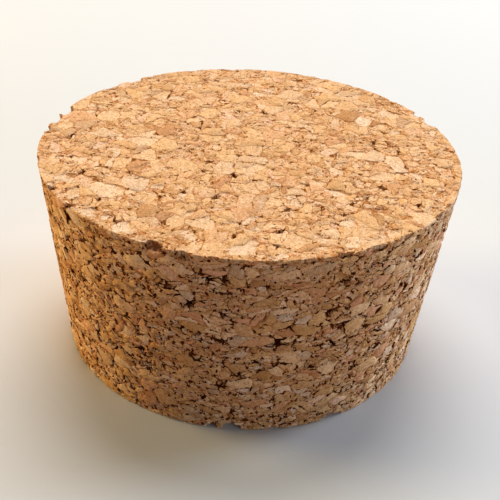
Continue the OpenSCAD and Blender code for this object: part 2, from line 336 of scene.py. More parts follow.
def middle_mix(a, b, c):
    """The middle steps of the hash: take away, cross with turned bits and add, round the three words."""
    for places in (4, 6, 8, 16, 19, 4):
        a = (a - c) ^ turn_bits(c, places)
        c = c + b
        a, b, c = b, c, a
    return a, b, c


def float_bits(x):
    """The 32 bits of a float, as a whole number."""
    return np.asarray(x, np.float32).view(np.uint32)


def hash_start(count):
    """The word that a hash of this many numbers starts from."""
    return np.uint32((HASH_START + (count << 2) + 13) & WORD_MOST)


def cell_noise(cell):
    """Three random numbers from 0 to 1 for each cell, the same as the Voronoi texture node gives it."""
    x, y, z = (float_bits(cell[..., i].copy()) for i in range(3))
    start = hash_start(3)
    words = [last_mix(start + x, start + y, start + z)]
    start = hash_start(4)
    for extra in (1.0, 2.0):
        a, b, c = middle_mix(start + x, start + y, start + z)
        words.append(last_mix(a + float_bits(np.full(x.shape, extra)), b, c))
    return np.stack(words, -1).astype(np.float64) / WORD_MOST


def bend(place):
    """Bends space a little, so that no granule has straight sides: each bend adds sine waves to the place."""
    for turn, waves, reach in BENDS:
        turned = place @ np.array(Euler([math.radians(a) for a in turn]).to_matrix()).T
        place = place + reach * np.sin(waves * turned)
    return place


class Cells:
    """Voronoi cells over a block of space, worked out as the Voronoi texture node does."""

    def __init__(self, low, high):
        self.low = np.floor(low).astype(int) - 2
        count = np.floor(high).astype(int) + 3 - self.low
        axes = [np.arange(n) + start for n, start in zip(count, self.low)]
        cell = np.stack(np.meshgrid(*axes, indexing="ij"), -1).astype(np.float64)
        self.noise = cell_noise(cell).reshape(-1, 3)
        self.point = cell.reshape(-1, 3) + self.noise * RANDOMNESS
        self.stride = np.array([count[1] * count[2], count[2], 1])
        beside = (-1, 0, 1)
        self.steps = [int(np.dot(self.stride, (i, j, k))) for k in beside for j in beside for i in beside]

    def find(self, place):
        """Each place's cell noise, its distance to the nearest side of its cell, and its cell's point.

        A place belongs to the cell whose point is nearest. Its distance to the side shared with another cell
        is the difference of the two squared distances, over twice the distance between the two points.
        """
        home = (np.floor(place).astype(int) - self.low) @ self.stride
        away = np.full(len(place), np.inf)
        nearest = np.zeros(len(place), int)
        for step in self.steps:
            gap = ((self.point[home + step] - place) ** 2).sum(1)
            closer = gap < away
            away = np.where(closer, gap, away)
            nearest = np.where(closer, home + step, nearest)
        own = self.point[nearest]
        side = np.full(len(place), np.inf)
        for step in self.steps:
            other = self.point[home + step]
            gap = ((other - place) ** 2).sum(1)
            apart = ((other - own) ** 2).sum(1)
            another = apart > SAME_POINT
            reach = (gap - away) / (2 * np.sqrt(np.where(another, apart, 1)))
            side = np.where(another, np.minimum(side, reach), side)
        return self.noise[nearest], side, own


class Granules:
    """The three sizes of granule, for any place in the cork in millimetres."""

    def __init__(self, low, high):
        self.sizes = []
        for size, _, _, shift in GRANULES:
            scale = np.array([1, 1, FLATTENED]) / size
            first, last = (np.array(low) - MARGIN) * scale + shift, (np.array(high) + MARGIN) * scale + shift
            self.sizes.append((Cells(first, last), scale, np.array(shift)))

    def find(self, place):
        """Each place's granule: two random numbers, two distances to its side, and the way from its middle.

        The first distance counts all three sizes, and the second only the two larger ones, where pores open.
        The largest size is tried first. A halved cell is cut through its point, square to a random direction.
        Where a cell is filled with smaller ones, the next size is found too: its random numbers are added and
        wrapped round at 1, and the nearer of the two sides counts.
        """
        bent = bend(place)
        tone = np.zeros((len(place), 2))
        side = np.full(len(place), np.inf)
        wide_side = side.copy()
        middle = bent.copy()
        open_still = np.arange(len(place))
        for (cells, scale, shift), (size, whole, halved, _) in zip(self.sizes, GRANULES):
            spot = bent[open_still] * scale + shift
            noise, gap, own = cells.find(spot)
            across = noise - 0.5
            cut = ((spot - own) * across).sum(1) / np.linalg.norm(across, axis=1)
            is_cut = (noise[:, 0] >= whole) & (noise[:, 0] < halved)
            gap = np.where(is_cut, np.minimum(gap, np.abs(cut)), gap)
            far_half = (is_cut & (cut > 0))[:, None]
            tone[open_still] = (tone[open_still] + noise[:, 1:] + HALVES_DIFFER * far_half) % 1.0
            side[open_still] = np.minimum(side[open_still], gap * size)
            if size > GRANULES[-1][0]:
                wide_side = side.copy()
            middle[open_still] = (own - shift) / scale
            open_still = open_still[noise[:, 0] >= halved]
        return tone, side, wide_side, bent - middle


# --- The turned form and what is missing from it ----------------------------------------------

def smooth_step(x, low, high):
    """0 below low, 1 above high, and a smooth S between them."""
    t = np.clip((x - low) / (high - low), 0, 1)
    return t * t * (3 - 2 * t)


def spread(count, step):
    """The fraction left when count times step has its whole part taken away."""
    return (count * step) % 1.0


class Taper:
    """The stopper's turned form: two radii and a height, in millimetres."""

    def __init__(self, sizes):
        self.top_r = sizes.top_d / MM / 2
        self.bottom_r = sizes.bottom_d / MM / 2
        self.height = sizes.height / MM
        self.slope = math.atan((self.top_r - self.bottom_r) / self.height)

    def wall_r(self, z):
        """Radius of the wall at a height: a straight line from the small face to the large one."""
        return self.bottom_r + (self.top_r - self.bottom_r) * z / self.height

    def profile(self, step):
        """Radius and height down the wall, from the large face to the small one, in even steps.

        Each worn corner is a quadratic curve. It starts and ends at the wear's distance along its two sides.
        """
        t = np.linspace(0, 1, WEAR_POINTS)[:, None]
        up = np.array([math.sin(self.slope), math.cos(self.slope)])
        top = np.array([self.top_r, self.height]) + TOP_WEAR * ((1 - t) ** 2 * (-1, 0) - t ** 2 * up)
        foot = np.array([self.bottom_r, 0]) + BOTTOM_WEAR * ((1 - t) ** 2 * up + t ** 2 * (-1, 0))
        line = np.concatenate([top, foot])
        along = np.concatenate([[0], np.cumsum(np.hypot(*np.diff(line, axis=0).T))])
        even = np.linspace(0, along[-1], int(along[-1] / step) + 1)
        return np.interp(even, along, line[:, 0]), np.interp(even, along, line[:, 1])

    def inward(self, r, z):
        """The direction into the cork at a point, as parts along the radius and the height.

        It is square to the face or the wall. Within RIM_TURN of a rim it turns smoothly from one to the other.
        """
        wall = np.array([-math.cos(self.slope), math.sin(self.slope)])
        over = z > self.height / 2
        from_rim = np.where(over, (self.height - z) - (self.top_r - r), z - (self.bottom_r - r))
        share = smooth_step(from_rim, -RIM_TURN, RIM_TURN)
        part_r = share * wall[0]
        part_z = share * wall[1] + (1 - share) * np.where(over, -1.0, 1.0)
        length = np.hypot(part_r, part_z)
        return part_r / length, part_z / length

    def from_rim(self, r, z):
        """The distance to the corner of the nearer rim."""
        return np.minimum(np.hypot(r - self.top_r, z - self.height), np.hypot(r - self.bottom_r, z))

    def on_wall(self, bearing, z):
        """The point of the wall at a bearing in degrees and a height."""
        turn = np.radians(bearing)
        return np.stack([self.wall_r(z) * np.cos(turn), self.wall_r(z) * np.sin(turn), z + 0 * turn], -1)


def disc_grid(n):
    """Points of a disc of radius 1 on a grid of n by n squares, and the order of the points round its rim.

    Each square ring of the grid becomes a circle of the same half-width, with its points evenly round it.
    """
    a, b = np.meshgrid(np.linspace(-1, 1, n + 1), np.linspace(-1, 1, n + 1), indexing="ij")
    wide = np.abs(a) > np.abs(b)
    r = np.where(wide, a, b)
    safe = np.where(r == 0, 1, r)
    turn = np.where(wide, math.pi / 4 * b / safe, math.pi / 2 - math.pi / 4 * a / safe)
    i = np.arange(n)
    number = np.arange((n + 1) ** 2).reshape(n + 1, n + 1)
    rim = np.concatenate([number[n, i], number[n - i, n], number[0, n - i], number[i, 0]])
    return np.stack([r * np.cos(turn), r * np.sin(turn)], -1).reshape(-1, 2), number, rim


def grid_squares(number):
    """The four corners of each square of a grid of numbered points."""
    return np.stack([number[:-1, :-1], number[1:, :-1], number[1:, 1:], number[:-1, 1:]], -1).reshape(-1, 4)


def turned_surface(taper, step):
    """One closed surface: a disc grid for each face, and rings down the wall that share the discs' rims."""
    n = int(2 * math.pi * taper.top_r / step / 4)
    disc, number, rim = disc_grid(n)
    r, z = taper.profile(step)
    bearing = np.radians(-45 + 90.0 / n * np.arange(4 * n))
    ring_r, ring_z = r[1:-1, None], z[1:-1, None]
    rings = np.stack([ring_r * np.cos(bearing), ring_r * np.sin(bearing), ring_z + 0 * bearing], -1)
    rings = rings.reshape(-1, 3)
    top = np.column_stack([disc * r[0], np.full(len(disc), z[0])])
    foot = np.column_stack([disc * r[-1], np.full(len(disc), z[-1])])
    points = np.concatenate([top, foot, rings])
    squares = grid_squares(number)
    ring_number = 2 * len(disc) + np.arange(len(rings)).reshape(-1, 4 * n)
    rows = np.concatenate([rim[None], ring_number, rim[None] + len(disc)])
    after = np.roll(rows, -1, axis=1)
    walls = np.stack([rows[:-1], rows[1:], after[1:], after[:-1]], -1).reshape(-1, 4)
    return points, np.concatenate([squares, squares[:, ::-1] + len(disc), walls])


def chunk_sides(w, d, h, lean):
    """The flat sides of a broken granule, as directions and distances from its middle.

    It is where three uneven prisms cross. A prism's outline is a polygon whose corners reach 0.8 to 1 of the
    way to an ellipse.
    """
    sides = []
    prisms = (w, d, 7, lean, (0, 1)), (w, h, 6, lean / 2, (0, 2)), (d, h, 6, lean + 20, (1, 2))
    for width, depth, count, turn, axes in prisms:
        number = np.arange(count)
        angle = np.radians(360 * number / count + turn)
        reach = 0.9 + 0.1 * np.sin(np.radians(150 * number + turn))
        corner = np.stack([width / 2 * reach * np.cos(angle), depth / 2 * reach * np.sin(angle)], -1)
        edge = np.roll(corner, -1, axis=0) - corner
        facing = np.zeros((count, 3))
        facing[:, axes[0]] = edge[:, 1]
        facing[:, axes[1]] = -edge[:, 0]
        facing /= np.linalg.norm(facing, axis=1)[:, None]
        away = facing[:, axes[0]] * corner[:, 0] + facing[:, axes[1]] * corner[:, 1]
        sides.append(np.column_stack([facing, away]))
    return np.concatenate(sides)


def break_rim(points, r, z, bearing, w, bite, drop):
    """Presses the points that lie inside a missing granule to the far side of it.

    The granule is centred on the rim's corner, and sine waves make its outline ragged. A point inside moves
    in and down the diagonal, to where that line comes out of the granule.
    """
    turn = math.radians(bearing)
    corner = np.array([r * math.cos(turn), r * math.sin(turn), z])
    axes = np.array([[-math.sin(turn), math.cos(turn), 0], [-math.cos(turn), -math.sin(turn), 0], [0, 0, 1]])
    near = np.flatnonzero(((points - corner) ** 2).sum(1) < (w / 2 + bite + drop) ** 2)
    local = (points[near] - corner) @ axes.T
    local += sum(reach * np.sin(waves * local[:, order] + bearing) for reach, waves, order in RAGGED)
    sides = chunk_sides(w, 2 * bite, 2 * drop, bearing)
    room = sides[:, 3] - local @ sides[:, :3].T
    inside = (room > 0).all(1)
    way = np.array([0, bite, -drop if z > 0 else drop])
    way /= np.linalg.norm(way)
    facing = sides[:, :3] @ way
    leaves = facing > 1e-6
    go = (room[inside][:, leaves] / facing[leaves]).min(1)
    points[near[inside]] += (go[:, None] * way) @ axes


def all_rim_breaks(taper):
    """Every granule missing from a rim, the large ones and the small crumbs all the way round."""
    breaks = [(taper.top_r, taper.height, *chip) for chip in TOP_CHIPS]
    breaks += [(taper.bottom_r, 0, *chip) for chip in BOTTOM_CHIPS]
    for r, z, start in (
        (taper.top_r, taper.height, TOP_CRUMBS_FROM),
        (taper.bottom_r, 0, BOTTOM_CRUMBS_FROM),
    ):
        count = int(2 * math.pi * r / CRUMB_PITCH)
        for i in range(count):
            size = 0.75 + 0.5 * spread(i, SIZE_STEP)
            bearing = start + 360 * (i + 0.4 * spread(i, ALONG_STEP)) / count
            breaks.append((r, z, bearing, CRUMB_W * size, CRUMB_DEPTH * size, CRUMB_DEPTH * (2 - size)))
    return breaks


def wall_pores(taper):
    """The middles and sizes of the wall's pores: the largest, then rows of common ones, each set astray."""
    gaps = np.array(WALL_GAPS)
    gap_z = gaps[:, 1] * taper.height
    spots = np.column_stack([np.radians(gaps[:, 0]) * taper.wall_r(gap_z), gap_z])
    places, sizes = [taper.on_wall(gaps[:, 0], gap_z)], [gaps[:, 2:4]]
    rows = int((taper.height - 2 * RIM_BAND) / WALL_PORE_PITCH)
    row_h = (taper.height - 2 * RIM_BAND) / rows
    for row in range(rows):
        row_z = RIM_BAND + (row + 0.5) * row_h
        i = np.arange(1, int(2 * math.pi * taper.wall_r(row_z) / WALL_PORE_PITCH) + 1)
        number = i + 50 * row
        w = WALL_PORE_W * (0.6 + 0.75 * spread(number, SIZE_STEP))
        h = w * SQUEEZE * (1.3 - 0.5 * spread(number, ACROSS_STEP))
        z = row_z + (row_h - h - WEB) * (spread(number, ACROSS_STEP) - 0.5)
        astray = (WALL_PORE_PITCH - w - WEB) * (spread(number, ALONG_STEP) - 0.5)
        along = (i + row / 2) * WALL_PORE_PITCH + astray
        bearing = (360 * along / (len(i) * WALL_PORE_PITCH)) % 360 - 180
        spot = np.column_stack([np.radians(bearing) * taper.wall_r(z), z])
        away = np.linalg.norm(spot[:, None] - spots[None], axis=2) - gaps[:, 2] / 2
        roomy = away.min(1) > w / 2 + WEB
        places.append(taper.on_wall(bearing, z)[roomy])
        sizes.append(np.column_stack([w, h])[roomy])
    return np.concatenate(places), np.concatenate(sizes)


def face_pores(r, z, start, gaps):
    """The middles and sizes of a face's pores: the largest, then common ones spread like sunflower seeds."""
    places, sizes, spots = [], [], np.zeros((0, 2))
    if len(gaps):
        turn = np.radians(gaps[:, 0])
        spots = (gaps[:, 1] * r)[:, None] * np.column_stack([np.cos(turn), np.sin(turn)])
        places.append(np.column_stack([spots, np.full(len(spots), z)]))
        sizes.append(gaps[:, 2:4])
    field_r = r - RIM_BAND
    count = int(math.pi * field_r ** 2 / FACE_PORE_PITCH ** 2)
    i = np.arange(1, count + 1)
    turn = np.radians(start + 360 * i * SIZE_STEP)
    spot = (field_r * np.sqrt((i - 0.5) / count))[:, None] * np.column_stack([np.cos(turn), np.sin(turn)])
    w = FACE_PORE_W * (0.65 + 0.7 * spread(i, ACROSS_STEP))
    h = w * (1 - 0.4 * spread(i, ALONG_STEP))
    roomy = np.full(count, True)
    if len(gaps):
        roomy = (np.linalg.norm(spot[:, None] - spots[None], axis=2) - gaps[:, 2] / 2).min(1) > w / 2 + WEB
    places.append(np.column_stack([spot[roomy], np.full(roomy.sum(), float(z))]))
    sizes.append(np.column_stack([w, h])[roomy])
    return np.concatenate(places), np.concatenate(sizes)


def nearest_meetings(granules, taper, places, wall):
    """Each pore's middle, moved to the place nearby where the granules' sides lie closest together.

    A place's score is the sum of the distances to a side there and at four places round it, plus a cost for
    how far it is from the middle. The lowest score wins.
    """
    look = np.linspace(-MEETING_REACH, MEETING_REACH, MEETING_STEPS)
    a, b = (g.ravel() for g in np.meshgrid(look, look, indexing="ij"))
    if wall:
        bearing = np.degrees(np.arctan2(places[:, 1], places[:, 0]))
        z = np.clip(places[:, 2, None] + b, MEETING_BAND, taper.height - MEETING_BAND)
        spots = taper.on_wall(bearing[:, None] + np.degrees(a / taper.wall_r(places[:, 2, None])), z)
    else:
        spots = places[:, None] + np.stack([a, b, 0 * a], -1)
    _, _, wide_side, _ = granules.find(spots.reshape(-1, 3))
    side = np.minimum(wide_side, MEETING_SIDE).reshape(len(places), len(look), len(look))
    crowd = side.copy()
    for step in (-2, 2):
        crowd += np.roll(side, step, axis=1) + np.roll(side, step, axis=2)
    cost = crowd.reshape(len(places), -1) + MEETING_COST * np.hypot(a, b)
    return spots[np.arange(len(places)), cost.argmin(1)]


def pore_gape(granules, taper, points):
    """How far apart the granules stand at each point, in millimetres, as one bell curve for each pore.

    At a pore's middle it is a random share of the pore's mean size. Away from the middle it is multiplied by e
    to the power of minus s over twice the bell's width squared. There s is the squared distance, plus
    BELL_THIN times the squared distance along the pore's own random direction.
    """
    gape = np.zeros(len(points))
    for (places, sizes), wall, full in (
        (wall_pores(taper), True, WALL_GAPE),
        (face_pores(taper.top_r, taper.height, TOP_PORES_FROM, np.array(TOP_GAPS)), False, FACE_GAPE),
        (face_pores(taper.bottom_r, 0, BOTTOM_PORES_FROM, np.zeros((0, 4))), False, FACE_GAPE),
    ):
        middles = nearest_meetings(granules, taper, places, wall)
        chance = np.random.default_rng(len(places))
        ways = chance.normal(size=(len(places), 3)) * (1, 1, BELL_LEAN if wall else 0)
        ways /= np.linalg.norm(ways, axis=1)[:, None]
        shares = full * chance.uniform(LEAST_GAPE, MOST_GAPE, len(places))
        for middle, (w, h), share, way in zip(middles, sizes, shares, ways):
            near = np.flatnonzero(np.abs(points[:, 2] - middle[2]) < 2 * w)
            away = points[near] - middle
            spread_out = (away ** 2).sum(1) + BELL_THIN * (away @ way) ** 2
            bell = np.exp(-spread_out / (2 * (BELL_WIDTH * w) ** 2))
            gape[near] = np.maximum(gape[near], share * math.sqrt(w * h) * bell)
    return gape


def granule_relief(tone, side, away, deepest, rough, from_rim, broken):
    """How far each point lies under the turned surface, in millimetres, before any pore opens.

    It is the least depth, plus the granule's own depth, its tilt, and the groove at its side. The own depth is
    the deepest times a power of the first random number. The tilt is the dot product of the way from the
    granule's middle and three random numbers from -0.5 to 0.5. The groove fades with the distance to the side
    by a smooth step. All of it is less along a rim that isn't broken. rough is 0 on a face and about 1 on the
    wall.
    """
    tilt, groove_depth, groove_w = (face + wall * rough for face, wall in (TILT, GROOVE_DEPTH, GROOVE_W))
    chance = np.column_stack([tone, (tone.sum(1) * 3) % 1.0])
    sunk = LEAST_DEPTH + deepest * tone[:, 0] ** DEPTH_POWER
    sunk += tilt * (away * (chance - 0.5)).sum(1)
    sunk += groove_depth * (1 - smooth_step(side, 0.0, groove_w))
    sunk *= RIM_SHARE + (1 - RIM_SHARE) * smooth_step(from_rim + BREAK_COUNTS * broken, 0.0, RIM_REACH)
    return sunk


# --- Meshes -----------------------------------------------------------------------------------

def write_mesh(name, points, squares):
    """A mesh with numpy's points, in millimetres, and four-sided faces."""
    mesh = bpy.data.meshes.new(name)
    mesh.vertices.add(len(points))
    mesh.vertices.foreach_set("co", (points * MM).astype(np.float32).ravel())
    mesh.loops.add(squares.size)
    mesh.loops.foreach_set("vertex_index", squares.astype(np.int32).ravel())
    mesh.polygons.add(len(squares))
    mesh.polygons.foreach_set("loop_start", np.arange(0, squares.size, 4, dtype=np.int32))
    mesh.update(calc_edges=True)
    return mesh


def add_piece(name, mesh):
    """An object for a mesh, at the origin."""
    piece = bpy.data.objects.new(name, mesh)
    bpy.context.scene.collection.objects.link(piece)
    return piece


def thin_out(piece, triangles):
    """Joins points where the surface is flattest, until about this many triangles are left."""
    mesh = piece.data
    mesh.calc_loop_triangles()
    thinner = piece.modifiers.new("Thin out", "DECIMATE")
    thinner.ratio = min(1.0, triangles / len(mesh.loop_triangles))
    thin = bpy.data.meshes.new_from_object(piece.evaluated_get(bpy.context.evaluated_depsgraph_get()))
    piece.modifiers.remove(thinner)
    piece.data = thin
    bpy.data.meshes.remove(mesh)
    place = np.empty(3 * len(thin.vertices), np.float32)
    thin.vertices.foreach_get("co", place)
    place = np.clip(place.reshape(-1, 3), CAD_LOW + SKIN, CAD_HIGH - SKIN)
    thin.vertices.foreach_set("co", place.ravel())
    thin.update()


# --- Materials --------------------------------------------------------------------------------

GRANULE_OUTPUTS = ("Tone", "Hue", "Side", "Wide Side", "Crumb", "Streaks")


class Wiring:
    """Adds nodes to a node tree and joins them, so that a formula reads in one line."""

    def __init__(self, tree):
        self.tree = tree

    def add(self, kind, joins=(), **settings):
        """One node, with its settings made and its named inputs joined or set."""
        node = self.tree.nodes.new(kind)
        for name, value in settings.items():
            setattr(node, name, value)
        for name, value in dict(joins).items():
            self.join(value, node.inputs[name])
        return node

    def join(self, value, socket):
        """Joins an output to a socket, or sets the socket to a plain value."""
        if isinstance(value, bpy.types.NodeSocket):
            self.tree.links.new(value, socket)
        else:
            socket.default_value = value

    def maths(self, operation, *terms):
        """A Math node's result."""
        node = self.add("ShaderNodeMath", operation=operation)
        for socket, term in zip(node.inputs, terms):
            self.join(term, socket)
        return node.outputs[0]

    def vector(self, operation, *terms):
        """A Vector Math node's result."""
        node = self.add("ShaderNodeVectorMath", operation=operation)
        for socket, term in zip(node.inputs, terms):
            self.join(term, socket)
        return node.outputs["Value" if operation in ("DOT_PRODUCT", "LENGTH") else "Vector"]

    def place(self):
        """The point of the piece that is shaded, in millimetres."""
        metres = self.add("ShaderNodeTexCoord").outputs["Object"]
        return self.add("ShaderNodeVectorMath", {0: metres, "Scale": 1 / MM}, operation="SCALE").outputs[0]

    def ranged(self, value, low, high, first=0.0, last=1.0):
        """A value carried smoothly from one range to another, and held at both ends."""
        return self.add("ShaderNodeMapRange", {
            "Value": value, "From Min": low, "From Max": high, "To Min": first, "To Max": last,
        }, interpolation_type="SMOOTHSTEP").outputs["Result"]

    def mixed(self, share, first, second, blend_type="MIX"):
        """One colour mixed over another by a share from 0 to 1."""
        node = self.add("ShaderNodeMix", data_type="RGBA", blend_type=blend_type, clamp_factor=True)
        sockets = {s.identifier: s for s in node.inputs}
        for name, term in (("Factor_Float", share), ("A_Color", first), ("B_Color", second)):
            self.join(term, sockets[name])
        return next(s for s in node.outputs if s.identifier == "Result_Color")

    def with_wall(self, wall, pair):
        """A value that is the first of a pair on a face, and has the second added to it on the wall."""
        return self.maths("MULTIPLY_ADD", wall, pair[1], pair[0])

    def product(self, first, *others):
        """All the terms multiplied together."""
        for other in others:
            first = self.maths("MULTIPLY", first, other)
        return first

    def tinted(self, share, colour, tint):
        """A colour, and by a share from 0 to 1 the same colour multiplied by a tint."""
        return self.mixed(share, colour, self.mixed(1.0, colour, tint, "MULTIPLY"))

    def noise(self, place, scale, detail, roughness, distortion=0.0):
        """A noise texture's value. Its patches are about 1 / scale millimetres across."""
        return self.add("ShaderNodeTexNoise", {
            "Vector": place, "Scale": scale, "Detail": detail,
            "Roughness": roughness, "Distortion": distortion,
        }).outputs["Fac"]

    def ramp(self, value, stops):
        """A colour ramp, from stops of a position and a colour."""
        node = self.add("ShaderNodeValToRGB", {"Fac": value})
        line = node.color_ramp.elements
        while len(line) < len(stops):
            line.new(1.0)
        for element, (position, colour) in zip(line, stops):
            element.position = position
            element.color = (*colour, 1.0)
        return node.outputs["Color"]


def blank_wiring(owner):
    """The wiring of a material or a world, with its own nodes cleared away."""
    owner.use_nodes = True
    owner.node_tree.nodes.clear()
    return Wiring(owner.node_tree)


def blend_of(first, second, share):
    """The colour that lies a share of the way from one colour to another."""
    return tuple(x + (y - x) * share for x, y in zip(first, second))


def granule_group():
    """A node group with the same granules as Granules, for a place in millimetres.

    Tone and Hue are a granule's two random numbers. Side is the distance to its side in millimetres, and Wide
    Side is the same with the smallest size left out. Crumb is 0 for the largest size and 1 for the smallest.
    Streaks is a fine stripe that runs its own way through each granule.
    """
    tree = bpy.data.node_groups.new("Cork Granules", "ShaderNodeTree")
    tree.interface.new_socket("Place", in_out="INPUT", socket_type="NodeSocketVector")
    for name in GRANULE_OUTPUTS:
        tree.interface.new_socket(name, in_out="OUTPUT", socket_type="NodeSocketFloat")
    wire = Wiring(tree)
    ends = wire.add("NodeGroupInput"), wire.add("NodeGroupOutput")
    place = ends[0].outputs["Place"]
    for turn, waves, reach in BENDS:
        turned = wire.add("ShaderNodeMapping", {
            "Vector": place, "Rotation": [math.radians(a) for a in turn], "Scale": (waves, waves, waves)})
        wave = wire.vector("SINE", turned.outputs["Vector"])
        place = wire.vector("MULTIPLY_ADD", wave, (reach, reach, reach), place)
    tone, hue, side, crumb, done = 0.0, 0.0, FAR, 0.0, 0.0
    for size, whole, halved, shift in GRANULES:
        spot = wire.vector("MULTIPLY_ADD", place, (1 / size, 1 / size, FLATTENED / size), shift)
        joins = {"Vector": spot, "Scale": 1.0, "Randomness": RANDOMNESS}
        cell = wire.add("ShaderNodeTexVoronoi", joins, voronoi_dimensions="3D", feature="F1")
        border = wire.add("ShaderNodeTexVoronoi", joins, voronoi_dimensions="3D", feature="DISTANCE_TO_EDGE")
        noise = wire.add("ShaderNodeSeparateColor", {"Color": cell.outputs["Color"]})
        kind, cell_tone, cell_hue = noise.outputs
        across = wire.vector("NORMALIZE", wire.vector("SUBTRACT", cell.outputs["Color"], (0.5, 0.5, 0.5)))
        cut = wire.vector("DOT_PRODUCT", wire.vector("SUBTRACT", spot, cell.outputs["Position"]), across)
        is_cut = wire.maths(
            "MULTIPLY", wire.maths("GREATER_THAN", kind, whole), wire.maths("LESS_THAN", kind, halved))
        uncut = wire.maths("MULTIPLY_ADD", is_cut, -FAR, FAR)
        from_cut = wire.maths("ADD", wire.maths("ABSOLUTE", cut), uncut)
        gap = wire.maths("MULTIPLY", wire.maths("MINIMUM", border.outputs["Distance"], from_cut), size)
        far_half = wire.maths("MULTIPLY", is_cut, wire.maths("GREATER_THAN", cut, 0.0))
        differ = wire.maths("MULTIPLY", far_half, HALVES_DIFFER)
        part = wire.maths("SUBTRACT", 1.0, done)
        crumb = wire.maths("MULTIPLY_ADD", part, 0.5, crumb)
        tone, hue = (
            wire.maths("FRACT", wire.maths("MULTIPLY_ADD", wire.maths("ADD", own, differ), part, so_far))
            for own, so_far in ((cell_tone, tone), (cell_hue, hue)))
        wide_side = side
        side = wire.maths("MINIMUM", side, wire.maths("MULTIPLY_ADD", done, FAR, gap))
        done = wire.maths("MAXIMUM", done, wire.maths("LESS_THAN", kind, halved))
    spin = wire.add("ShaderNodeCombineXYZ", {
        axis: wire.maths("MULTIPLY", chance, turn)
        for axis, chance, turn in zip("XYZ", (tone, hue, wire.maths("ADD", tone, hue)), STREAK_TURNS)})
    turned = wire.add(
        "ShaderNodeVectorRotate", {"Vector": place, "Rotation": spin.outputs[0]}, rotation_type="EULER_XYZ")
    streaks = wire.noise(wire.vector("MULTIPLY", turned.outputs[0], STREAK_WAVES), *STREAK)
    crumb = wire.maths("SUBTRACT", crumb, 0.5)
    for name, value in zip(GRANULE_OUTPUTS, (tone, hue, side, wide_side, crumb, streaks)):
        wire.join(value, ends[1].inputs[name])
    return tree


def granule_colour(wire, look, tone, hue, wall):
    """A granule's own colour: a ramp by its first random number, with tints by its second."""
    colour = wire.ramp(tone, [
        (position, blend_of(getattr(look, first), getattr(look, second), share))
        for position, first, second, share in TONES])
    for low, high, first, last, on_face, on_wall, tint in HUES:
        share = wire.product(
            wire.ranged(hue, low, high, first, last), wire.with_wall(wall, (on_face, on_wall - on_face)))
        colour = wire.mixed(share, colour, (*tint, 1.0))
    return colour


